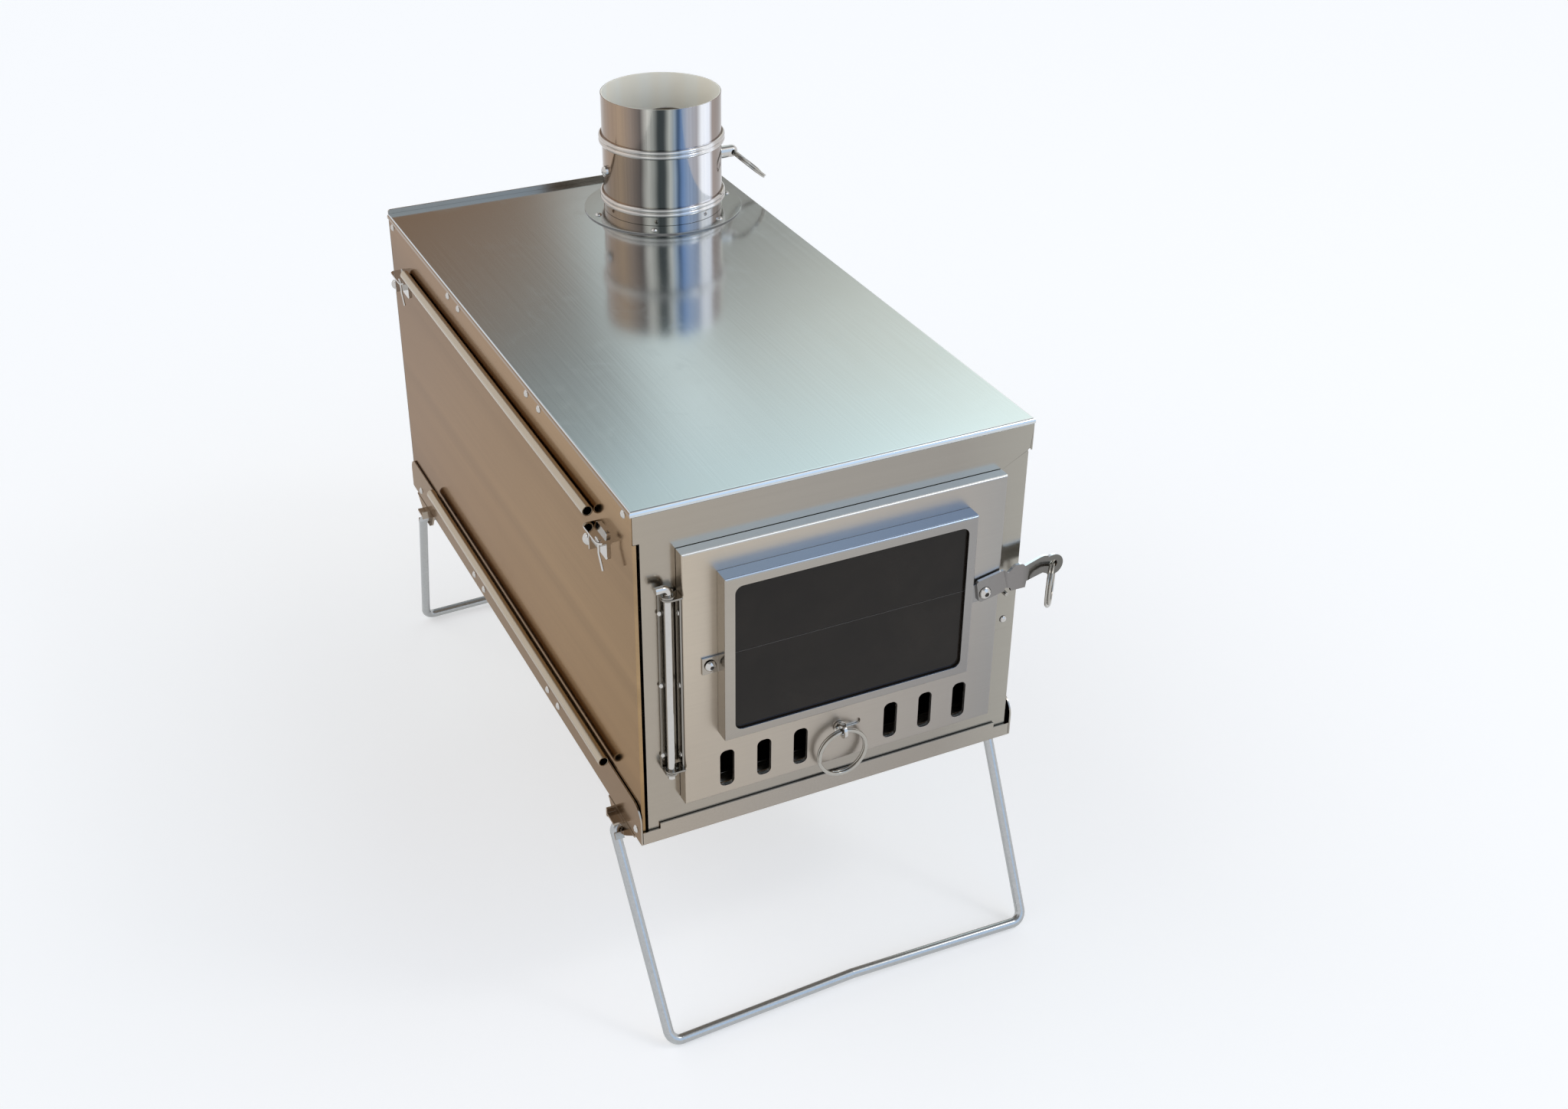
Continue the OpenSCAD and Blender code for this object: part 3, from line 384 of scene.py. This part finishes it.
# the sheets are one neutral steel; their base colours differ by slot as painted reflection: pale
# and cool on the lid, darker and warmer on the front, door, frame and tray, brown on the side
# panels
LOOKS = {
    "lid": steel("lid", (0.62, 0.65, 0.66), 0.13, ACROSS_Y, smudge=0.55, streak=0.04,
                 bump=0.2, painted_side_reflection=SIDE_REFLECTION_BROWN),
    "front": steel("front", (0.345, 0.315, 0.275), 0.20, ACROSS_X, smudge=0.35, streak=0.03,
                   tints=WIDE_TINTS),
    # the side panels' brown is a painted warm reflection
    "side": steel("side", (0.285, 0.19, 0.115), 0.13, ACROSS_Y, smudge=0.6, streak=0.07,
                  bump=0.2, blotch=5.0, tints=SIDE_TINTS, bands=0.16,
                  grazing=(0.70, 0.64, 0.60)),
    "tray": steel("tray", (0.365, 0.33, 0.29), 0.17, ACROSS_Y, smudge=0.5, streak=0.05,
                  tints=WIDE_TINTS, painted_side_reflection=SIDE_REFLECTION_BROWN, grazing=(0.75, 0.70, 0.65)),
    "door": steel("door", (0.49, 0.44, 0.38), 0.34, ACROSS_X, smudge=0.3, streak=0.03,
                  tints=DOOR_TINTS, painted_sky_on_top=(0.97, 1.0, 1.0)),
    "pane_frame": steel("pane_frame", (0.375, 0.35, 0.32), 0.20, ACROSS_X, smudge=0.25,
                        streak=0.03, tints=DOOR_TINTS, painted_sky_on_top=(0.42, 0.52, 0.68)),
    "pipe": rolled_pipe("pipe"),
    "collar": steel("collar", (0.26, 0.25, 0.24), 0.16, TURNED, smudge=0.3, streak=0.04,
                    bump=0.15, painted_sky_on_top=(0.60, 0.63, 0.63)),
    "polished": steel("polished", (0.56, 0.54, 0.51), 0.08, TURNED, smudge=0.3, streak=0.05,
                      bump=0.15),
    "coils": steel("coils", (0.42, 0.40, 0.36), 0.09, TURNED, smudge=0.4, streak=0.08,
                   bump=0.2),
    # the hinge leaves are painted darker than the other fittings: painted shade
    "hinge": steel("hinge", (0.30, 0.28, 0.25), 0.14, TURNED, smudge=0.4, bump=0.2),
    "drawn": steel("drawn", (0.45, 0.46, 0.46), 0.20, TURNED, smudge=0.4, streak=0.08,
                   bump=0.3),
    "lever": steel("lever", (0.25, 0.24, 0.23), 0.16, TURNED, smudge=0.3, streak=0.04,
                   bump=0.15, tints=LEVER_TINTS, painted_sky_on_top=(0.9, 0.92, 0.96)),
    "warm": steel("warm", (0.45, 0.38, 0.29), 0.16, ACROSS_Y, streak=0.05, bump=0.2),
    "inner": steel("inner", (0.20, 0.18, 0.16), 0.34, ACROSS_Y, smudge=0.8, streak=0.1),
    "shade": steel("shade", (0.05, 0.045, 0.04), 0.4, TURNED, streak=0.1),
    "glass": plain_glass("glass"),
    "fibre": fibre("fibre"),
}

WEARS = {
    "lid": "top_panel",
    "front": "front_panel back_panel",
    "side": "left_side_panel right_side_panel",
    "tray": "bottom_tray front_left_bracket front_right_bracket"
            " rear_left_bracket rear_right_bracket",
    "door": "door_panel air_slider",
    "pane_frame": "window_frame",
    "pipe": "damper_section",
    "collar": "flue_collar",
    "hinge": "body_hinge_leaf door_hinge_leaf",
    "drawn": "front_leg rear_leg",
    "warm": "upper_left_tube lower_left_tube upper_right_tube lower_right_tube",
    "inner": "left_hinge_strips right_hinge_strips fire_grate damper_plate glass_clamps"
             " slider_guides",
    "glass": "upper_glass lower_glass",
    "fibre": "glass_gasket",
}
OTHER_LOOK = "polished"

# how far each look's edges are rounded, in millimetres
EDGES = {"glass": 0.3, "fibre": 0.1, "drawn": 0.0, "warm": 0.1, "pipe": 0.12, "door": 0.3,
         "pane_frame": 0.3}
OTHER_EDGE = 0.15
SHARP = 38                   # degrees between two faces from which an edge is rounded
WELD = 0.002 * MM            # corners this near to each other are one corner
# looks of the folded sheets whose flat triangles are joined, so that the rounding of their
# edges leaves no triangles in the shading, and the degrees up to which a face is flat
FLATTENED, FLAT = ("door", "pane_frame"), 0.5


def soften(piece, width, degrees=SHARP):
    """Rounds a piece's edges by a width in millimetres and evens its shading."""
    if width > 0:
        bevel = piece.modifiers.new("bevel", "BEVEL")
        bevel.width = width * MM
        bevel.segments = 2
        bevel.limit_method = "ANGLE"
        bevel.angle_limit = math.radians(degrees)
    piece.modifiers.new("even", "WEIGHTED_NORMAL").weight = 80


def dress():
    """Gives each CAD node its material, softened edges and even shading."""
    look_of = {node: look for look, names in WEARS.items() for node in names.split()}
    for name, node in NODES.items():
        look = look_of.get(name, OTHER_LOOK)
        node.data.materials.clear()
        node.data.materials.append(LOOKS[look])
        for face in node.data.polygons:
            face.use_smooth = True
        node.modifiers.new("weld", "WELD").merge_threshold = WELD
        if look in FLATTENED:
            flat = node.modifiers.new("flat", "DECIMATE")
            flat.decimate_type = "DISSOLVE"
            flat.angle_limit = math.radians(FLAT)
        soften(node, EDGES.get(look, OTHER_EDGE))


# ---------- added pieces ----------

def add_piece(name, shape, look, body, stands_for=(), smooth=True):
    """Makes a mesh object from a bmesh, with a material, and hangs it on a body."""
    mesh = bpy.data.meshes.new(name)
    bmesh.ops.recalc_face_normals(shape, faces=shape.faces)
    shape.to_mesh(mesh)
    shape.free()
    for face in mesh.polygons:
        face.use_smooth = smooth
    mesh.materials.append(LOOKS[look])
    piece = bpy.data.objects.new(name, mesh)
    bpy.context.scene.collection.objects.link(piece)
    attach(piece, body)
    if stands_for:
        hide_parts(*stands_for)
    return piece


def join(shape, outlines):
    """Skins a row of outlines of equally many corners, and closes both ends."""
    count = len(outlines[0])
    for before, after in zip(outlines, outlines[1:]):
        for i in range(count):
            j = (i + 1) % count
            shape.faces.new((before[i], before[j], after[j], after[i]))
    shape.faces.new(list(reversed(outlines[0])))
    shape.faces.new(outlines[-1])


def ring_frame(node):
    """The middle, axis and outer radius of a ring-shaped node."""
    points = np.array([v.co[:] for v in NODES[node].data.vertices])
    middle = points.mean(axis=0)
    axes = np.linalg.svd(points - middle, full_matrices=False)[2]
    spread = (points - middle) @ axes.T
    middle = middle + ((spread.max(axis=0) + spread.min(axis=0)) / 2) @ axes
    return Vector(middle), Vector(axes[2]), np.ptp(spread, axis=0)[:2].mean() / 2


RING_CROSSING = 58 / 360     # share of a turn over which the wire crosses to its second coil
RING_STEPS, RING_SIDES = 150, 14
WIRE_SQUARENESS = 0.8        # 1 is an ellipse, less is squarer


def flattened(value, half):
    """A coordinate of a flattened wire's outline, from a cosine or sine."""
    return math.copysign(abs(value) ** WIRE_SQUARENESS, value) * half


def split_ring(node, body, wire, pitch, towards, hangs=(0, 0, -1), twist=0.0):
    """A key ring wound twice from flattened wire, with the wire's half width and half
    thickness and the coils' pitch in millimetres. The wire crosses over on the side that
    towards names, and the ring is twisted by some degrees about the line it hangs along."""
    middle, axis, reach = ring_frame(node)
    axis = Matrix.Rotation(math.radians(twist), 3, Vector(hangs)) @ axis
    first = (Vector(towards) - axis * axis.dot(Vector(towards))).normalized()
    second = axis.cross(first)
    half_wide, half_thick = wire[0] * MM, wire[1] * MM
    shape = bmesh.new()
    outlines = []
    for step in range(RING_STEPS + 1):
        turns = RING_CROSSING / 2 + (2 - RING_CROSSING) * step / RING_STEPS
        share = min(1, max(0, (turns - 1) / RING_CROSSING + 0.5))
        layer = share * share * (3 - 2 * share) - 0.5
        angle = 2 * math.pi * turns
        out = first * math.cos(angle) + second * math.sin(angle)
        centre = middle + out * (reach - half_wide) + axis * (layer * pitch * MM)
        outline = []
        for side in range(RING_SIDES):
            a = 2 * math.pi * side / RING_SIDES
            wide = flattened(math.cos(a), half_wide)
            thick = flattened(math.sin(a), half_thick)
            outline.append(shape.verts.new(centre + out * wide + axis * thick))
        outlines.append(outline)
    join(shape, outlines)
    ring = add_piece(node + "_coils", shape, "coils", body, (node,))
    soften(ring, 0.12, 60)


# the latch lever, in millimetres along it and up from its pivot, as it lies when level
LATCH_PIVOT = (76.0, 101.0)
LATCH_TURN = math.radians(9.5)
LEVER_SHEET = 1.5
# its arcs: middle, radius, degrees from and to, and points. The notch drops over the pin
LEVER_NOTCH = (12.2, -3.06, 1.3, 180, 0, 9)
LEVER_END = (38.85, -0.5, 5.8, -126, 112, 26)
LEVER_EYE = (39.0, 0.0, 2.3, 0, 345, 24)
# its outline from under the pivot to the notch, on to the rounded end, and back on top
LEVER_LOW = [(-3.9, -3.2), (-2.8, -4.3), (10.3, -3.9)]
LEVER_MIDDLE = [(13.4, -4.1), (21.5, -5.6), (22.5, -2.3), (32.8, -2.6), (35.2, -4.2)]
LEVER_HIGH = [(36.8, 6.0), (34.6, 6.9), (32.6, 7.0), (22.8, 6.7), (21.8, 8.3), (20.8, 8.9),
              (17.4, 9.6), (13.0, 6.9), (12.0, 8.2), (11.2, 8.5), (-2.8, 8.1), (-3.9, 7.2)]
# how far its sheet stands out at distances along it
LEVER_STEPS = [(11.2, 0.0), (12.2, 1.3), (22.4, 1.3), (25.0, 0.9), (32.6, 0.0)]


def arc(across, up, radius, start, end, count):
    """Points on an arc between two angles in degrees."""
    turns = [start + (end - start) * i / (count - 1) for i in range(count)]
    return [(across + radius * math.cos(math.radians(a)), up + radius * math.sin(math.radians(a)))
            for a in turns]


def stand_out(u):
    """How far the lever stands out from its foot at a distance along it."""
    along = [step[0] for step in LEVER_STEPS]
    return float(np.interp(u, along, [step[1] for step in LEVER_STEPS]))


def make_latch_lever():
    """The stepped sheet lever, cut out flat, bent along its steps and then thickened."""
    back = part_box("latch_lever")[1].y
    outline = LEVER_LOW + arc(*LEVER_NOTCH) + LEVER_MIDDLE + arc(*LEVER_END) + LEVER_HIGH
    shape = bmesh.new()
    for loop in (outline, arc(*LEVER_EYE)):
        corners = [shape.verts.new((u, 0, v)) for u, v in loop]
        for a, b in zip(corners, corners[1:] + corners[:1]):
            shape.edges.new((a, b))
    bmesh.ops.triangle_fill(shape, use_beauty=True, edges=shape.edges[:], normal=(0, -1, 0))
    for u in [step[0] for step in LEVER_STEPS]:
        everything = shape.verts[:] + shape.edges[:] + shape.faces[:]
        bmesh.ops.bisect_plane(shape, geom=everything, plane_co=(u, 0, 0), plane_no=(1, 0, 0))
    for corner in shape.verts:
        corner.co.y = -stand_out(corner.co.x)
    bmesh.ops.dissolve_limit(shape, angle_limit=math.radians(1), verts=shape.verts[:],
                             edges=shape.edges[:])
    top = bmesh.ops.extrude_face_region(shape, geom=shape.faces[:])
    for item in top["geom"]:
        if isinstance(item, bmesh.types.BMVert):
            item.co.y -= LEVER_SHEET
    foot = at(LATCH_PIVOT[0], 0, LATCH_PIVOT[1])
    foot.y = back
    cos, sin = math.cos(LATCH_TURN), math.sin(LATCH_TURN)
    for corner in shape.verts:
        u, y, v = corner.co
        corner.co = foot + Vector((u * cos - v * sin, y, u * sin + v * cos)) * MM
    lever = add_piece("latch_lever_sheet", shape, "lever", "latch",
                      ("latch_lever",), smooth=False)
    soften(lever, 0.2, 50)


def turned(shape, foot, axis, profile, count=28):
    """A turned solid from a foot along an axis, from radii at distances, in millimetres."""
    axis = Vector(axis).normalized()
    first = axis.orthogonal().normalized()
    second = axis.cross(first)
    outlines = []
    for radius, reach in profile:
        outline = []
        for i in range(count):
            a = 2 * math.pi * i / count
            out = (first * math.cos(a) + second * math.sin(a)) * radius
            outline.append(shape.verts.new(foot + (out + axis * reach) * MM))
        outlines.append(outline)
    join(shape, outlines)


# the latch's catch, in millimetres
CATCH_PIN = (88.0, 97.2)     # across, up
PIN_PROFILE = [(1.1, 0.3), (1.1, 10.0), (0.8, 10.4)]
STRAP_LEFT = 86.4
STRAP_OVER_PIN = 3           # how far the strap goes on above the pin
STRAP_SHEET = 0.8
STRAP_CORNER = 1.6


def make_latch_catch():
    """A flat strap on the front panel, with the pin that the lever's notch drops over."""
    low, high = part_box("latch_catch")
    left, right = at(STRAP_LEFT, 0, 0).x, high.x
    front, back = high.y - STRAP_SHEET * MM, high.y
    bottom, top = low.z, at(0, 0, CATCH_PIN[1] + STRAP_OVER_PIN).z
    cut = STRAP_CORNER * MM
    outline = [(left + cut, bottom), (right - cut, bottom), (right, bottom + cut),
               (right, top - cut), (right - cut, top), (left + cut, top), (left, top - cut),
               (left, bottom + cut)]
    shape = bmesh.new()
    join(shape, [[shape.verts.new((x, y, z)) for x, z in outline] for y in (front, back)])
    strap = add_piece("catch_strap", shape, "front", "stove", ("latch_catch",))
    soften(strap, 0.2)
    shape = bmesh.new()
    turned(shape, at(CATCH_PIN[0], 0, CATCH_PIN[1]), (0, -1, 0), PIN_PROFILE)
    soften(add_piece("catch_pin", shape, "coils", "stove"), 0.12)


def cut_node(node, keep_from):
    """A node's mesh from one place across onward, closed where it is cut."""
    shape = bmesh.new()
    shape.from_mesh(NODES[node].data)
    bmesh.ops.remove_doubles(shape, verts=shape.verts, dist=WELD)
    everything = shape.verts[:] + shape.edges[:] + shape.faces[:]
    bmesh.ops.bisect_plane(shape, geom=everything, plane_co=(keep_from, 0, 0),
                           plane_no=(1, 0, 0), clear_inner=True)
    bmesh.ops.holes_fill(shape, edges=[edge for edge in shape.edges if edge.is_boundary])
    return shape


CAP_PROFILE = [(3.2, -0.4), (3.2, 1.3), (2.9, 1.8), (2.2, 2.5), (1.2, 3.0), (0.4, 3.1)]
SPINDLE_PROUD = 1.2          # how far the shaft reaches out of the tube, into the cap
HEADS_FROM = 5               # what is kept of the fasteners lies farther inside than this


def make_damper_ends():
    """The damper's shaft with the small cap on its left end, close to the tube."""
    wall = PIPE_MIDDLE.x - PIPE_R * MM
    shaft = cut_node("damper_shaft", wall - SPINDLE_PROUD * MM)
    spindle = add_piece("damper_spindle", shaft, "polished", "damper",
                        ("damper_shaft",))
    soften(spindle, OTHER_EDGE)
    low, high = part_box("damper_shaft")
    shape = cut_node("damper_fasteners", wall + HEADS_FROM * MM)
    foot = Vector((wall, (low.y + high.y) / 2, (low.z + high.z) / 2))
    turned(shape, foot, (-1, 0, 0), CAP_PROFILE)
    heads = add_piece("damper_heads", shape, "polished", "damper",
                      ("damper_fasteners",))
    soften(heads, 0.12)


SOCKET_FLOOR = 0.55          # how deep the floor's foot lies behind the screw's head
SOCKET_PROFILE = [(1.15, 0), (1.15, 0.3), (1.0, 0.34)]


def make_sockets():
    """Dark discs at the floors of the hexagon sockets in two screws of the door: painted shade.
    """
    for node in ("window_screw", "latch_screw"):
        low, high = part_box(node)
        foot = Vector(((low.x + high.x) / 2, low.y + SOCKET_FLOOR * MM, (low.z + high.z) / 2))
        shape = bmesh.new()
        turned(shape, foot, (0, -1, 0), SOCKET_PROFILE, 6)
        add_piece(node + "_socket", shape, "shade", "door")


def make_pieces():
    split_ring("air_ring", "slider_ring", (0.95, 0.68), 1.45, towards=(-0.8, 0, -0.6))
    split_ring("latch_ring", "latch_pull", (0.85, 0.68), 1.45, towards=(0, -0.6, -0.8),
               twist=3.5)
    split_ring("damper_ring", "damper_pull", (0.70, 0.62), 1.30, towards=(0.9, 0, -0.6),
               hangs=(0.9, 0, -0.44), twist=2.0)
    make_latch_lever()
    make_latch_catch()
    make_damper_ends()
    make_sockets()


# ---------- set and light ----------

FLOOR_HALF = 6.0             # in metres
FLOOR_DROP = 0.4 * MM        # how far the floor lies below the feet
FLOOR_COLOUR = 0.80
FLOOR_GLOW = 0.34            # makes the floor white where it is seen or mirrored


def make_floor():
    """A floor whose own glow only the eye and mirrors see, so it lights nothing."""
    mesh = bpy.data.meshes.new("floor")
    corners = [(-1, -1), (1, -1), (1, 1), (-1, 1)]
    mesh.from_pydata([(x * FLOOR_HALF, y * FLOOR_HALF, 0) for x, y in corners],
                     [], [(0, 1, 2, 3)])
    floor = bpy.data.objects.new("floor", mesh)
    floor.location.z = -FLOOR_DROP
    bpy.context.scene.collection.objects.link(floor)
    material = bpy.data.materials.new("floor")
    t = Tree(material)
    diffuse = t.add("BsdfDiffuse", {"Color": grey(FLOOR_COLOUR)})
    white = t.add("Emission", {"Color": grey(1), "Strength": FLOOR_GLOW})
    path = t.add("LightPath")
    seen = t.math("MAXIMUM", path.outputs["Is Camera Ray"], path.outputs["Is Glossy Ray"])
    seen = t.math("MAXIMUM", seen, path.outputs["Is Transmission Ray"])
    both = t.add("AddShader", {0: diffuse, 1: white})
    choose = t.add("MixShader", {0: seen, 1: diffuse, 2: both})
    out = t.add("OutputMaterial")
    t.put(out.inputs["Surface"], choose.outputs[0])
    mesh.materials.append(material)


# The sky is given by direction: a height is the upward part of one, and a cone is the
# cosine of the angle where a glow ends and of the one where it is full.
# its light near the horizon and overhead, and the heights between which it changes
SKY_LOW, SKY_HIGH, SKY_CHANGE = (0.96, 0.97, 1.0), (0.34, 0.35, 0.37), (0.55, 0.80)
# two soft boxes overhead
SOFT_BOXES = ((0.55, -0.35, 0.80), (-0.60, 0.25, 0.80))
BOX_CONE, BOX_LIGHT = (0.93, 0.965), 1.25
# a pale blue window of sky at the front left, which the folds on the door mirror
WINDOW_TOWARDS, WINDOW_CONE = (0.366, -0.777, 0.5125), (0.86, 0.95)
WINDOW_LIGHT = (0.86, 1.08, 1.40)
# the graded wall that the lid mirrors, brighter to the right and upwards
WALL_TOWARDS, WALL_CONE = (0.373, 0.818, 0.438), (0.914, 0.968)
WALL_ACROSS, WALL_UP, WALL_SPAN = 1.54, 1.85, (1.0, 1.7)
WALL_LEVELS = (
    (0.00, 0.19), (0.10, 0.22), (0.23, 0.26), (0.36, 0.29), (0.49, 0.45),
    (0.60, 0.76), (0.70, 0.90), (0.80, 1.02), (0.90, 1.35),
)
WALL_WARMTH = ((0.0, (1.34, 0.82, 0.50)), (0.2, (1.2, 0.92, 0.72)), (0.36, (1.0, 1.0, 0.94)),
               (0.75, (1.0, 1.03, 0.94)))
WALL_COOLNESS = ((0.42, (1.0, 1.0, 1.0)), (0.45, (0.94, 1.0, 1.04)),
                 (0.50, (0.84, 1.0, 1.12)))
# a leaning bright strip in that wall: its azimuth, its lean for a whole height and its half
# width in degrees, and the heights between which it fades
STRIP_AZIMUTH, STRIP_LEAN, STRIP_WIDTH = 9.6, 30.0, 2.6
STRIP_TOP, STRIP_FOOT = (0.50, 0.455), (0.33, 0.37)
STRIP_LIGHT, STRIP_SHARE = (1.15, 1.30, 1.30), 0.6


def direction_glow(tree, direction, towards, cone):
    """1 within a cone round a direction, 0 outside a wider one."""
    middle = tuple(Vector(towards).normalized())
    facing = tree.add("VectorMath", {0: direction, 1: middle}, operation="DOT_PRODUCT")
    return tree.fade(facing.outputs["Value"], *cone)


def wall_light(t, axes):
    """The graded wall with its strip: warm and dim low on the left, pale and cool to the
    upper right."""
    slope = t.math("MULTIPLY", axes.outputs[0], WALL_ACROSS)
    rise = t.scaled(axes.outputs[2], WALL_UP, slope)
    low, high = WALL_SPAN
    along = t.add("MapRange", {"Value": rise, "From Min": low, "From Max": high})
    wall = t.ramp(along, [(place, grey(value)) for place, value in WALL_LEVELS])
    wall = t.mix(1.0, wall, t.ramp(along, WALL_WARMTH), "MULTIPLY")
    wall = t.mix(1.0, wall, t.ramp(axes.outputs[2], WALL_COOLNESS), "MULTIPLY")
    azimuth = t.math("ARCTAN2", axes.outputs[0], axes.outputs[1])
    lean = t.scaled(axes.outputs[2], math.radians(STRIP_LEAN), math.radians(STRIP_AZIMUTH))
    off = t.math("ABSOLUTE", t.math("SUBTRACT", azimuth, lean))
    strip = t.fade(off, math.radians(STRIP_WIDTH), 0.0)
    top = t.fade(axes.outputs[2], *STRIP_TOP)
    foot = t.fade(axes.outputs[2], *STRIP_FOOT)
    strip = t.math("MULTIPLY", strip, t.math("MULTIPLY", top, foot))
    return t.mix(t.math("MULTIPLY", strip, STRIP_SHARE), wall, solid(STRIP_LIGHT))


def make_world():
    """White round the horizon, dimmer overhead with two soft boxes, a window of sky and
    the wall behind the stove."""
    world = bpy.data.worlds.new("world")
    bpy.context.scene.world = world
    t = Tree(world)
    direction = t.add("TexCoord").outputs["Generated"]
    axes = t.add("SeparateXYZ", {0: direction})
    sky = t.mix(t.fade(axes.outputs[2], *SKY_CHANGE), solid(SKY_LOW), solid(SKY_HIGH))
    for towards in SOFT_BOXES:
        box = direction_glow(t, direction, towards, BOX_CONE)
        sky = t.mix(box, sky, grey(BOX_LIGHT))
    window = direction_glow(t, direction, WINDOW_TOWARDS, WINDOW_CONE)
    sky = t.mix(window, sky, solid(WINDOW_LIGHT))
    wall = direction_glow(t, direction, WALL_TOWARDS, WALL_CONE)
    colour = t.mix(wall, sky, wall_light(t, axes))
    background = t.add("Background", {"Color": colour, "Strength": 1.0})
    out = t.add("OutputWorld")
    t.put(out.inputs["Surface"], background.outputs[0])


# the lamp, in metres
KEY_AT, KEY_AIM = Vector((1.1, -0.9, 1.7)), Vector((0, 0, 0.2))
KEY_SIZE, KEY_WATTS, KEY_COLOUR = 0.35, 2.5, (1.0, 0.99, 0.97)


def make_key():
    """A small lamp that gives rivets, rings and beads their highlights."""
    lamp = bpy.data.lights.new("key", "AREA")
    lamp.shape = "RECTANGLE"
    lamp.size = lamp.size_y = KEY_SIZE
    lamp.energy = KEY_WATTS
    lamp.color = KEY_COLOUR
    holder = bpy.data.objects.new("key", lamp)
    bpy.context.scene.collection.objects.link(holder)
    holder.location = KEY_AT
    holder.rotation_euler = (KEY_AIM - KEY_AT).to_track_quat("-Z", "Y").to_euler()


def make_light():
    make_floor()
    make_world()
    make_key()
    bpy.context.scene.view_settings.view_transform = "Standard"


make_camera()
dress()
make_pieces()
make_light()
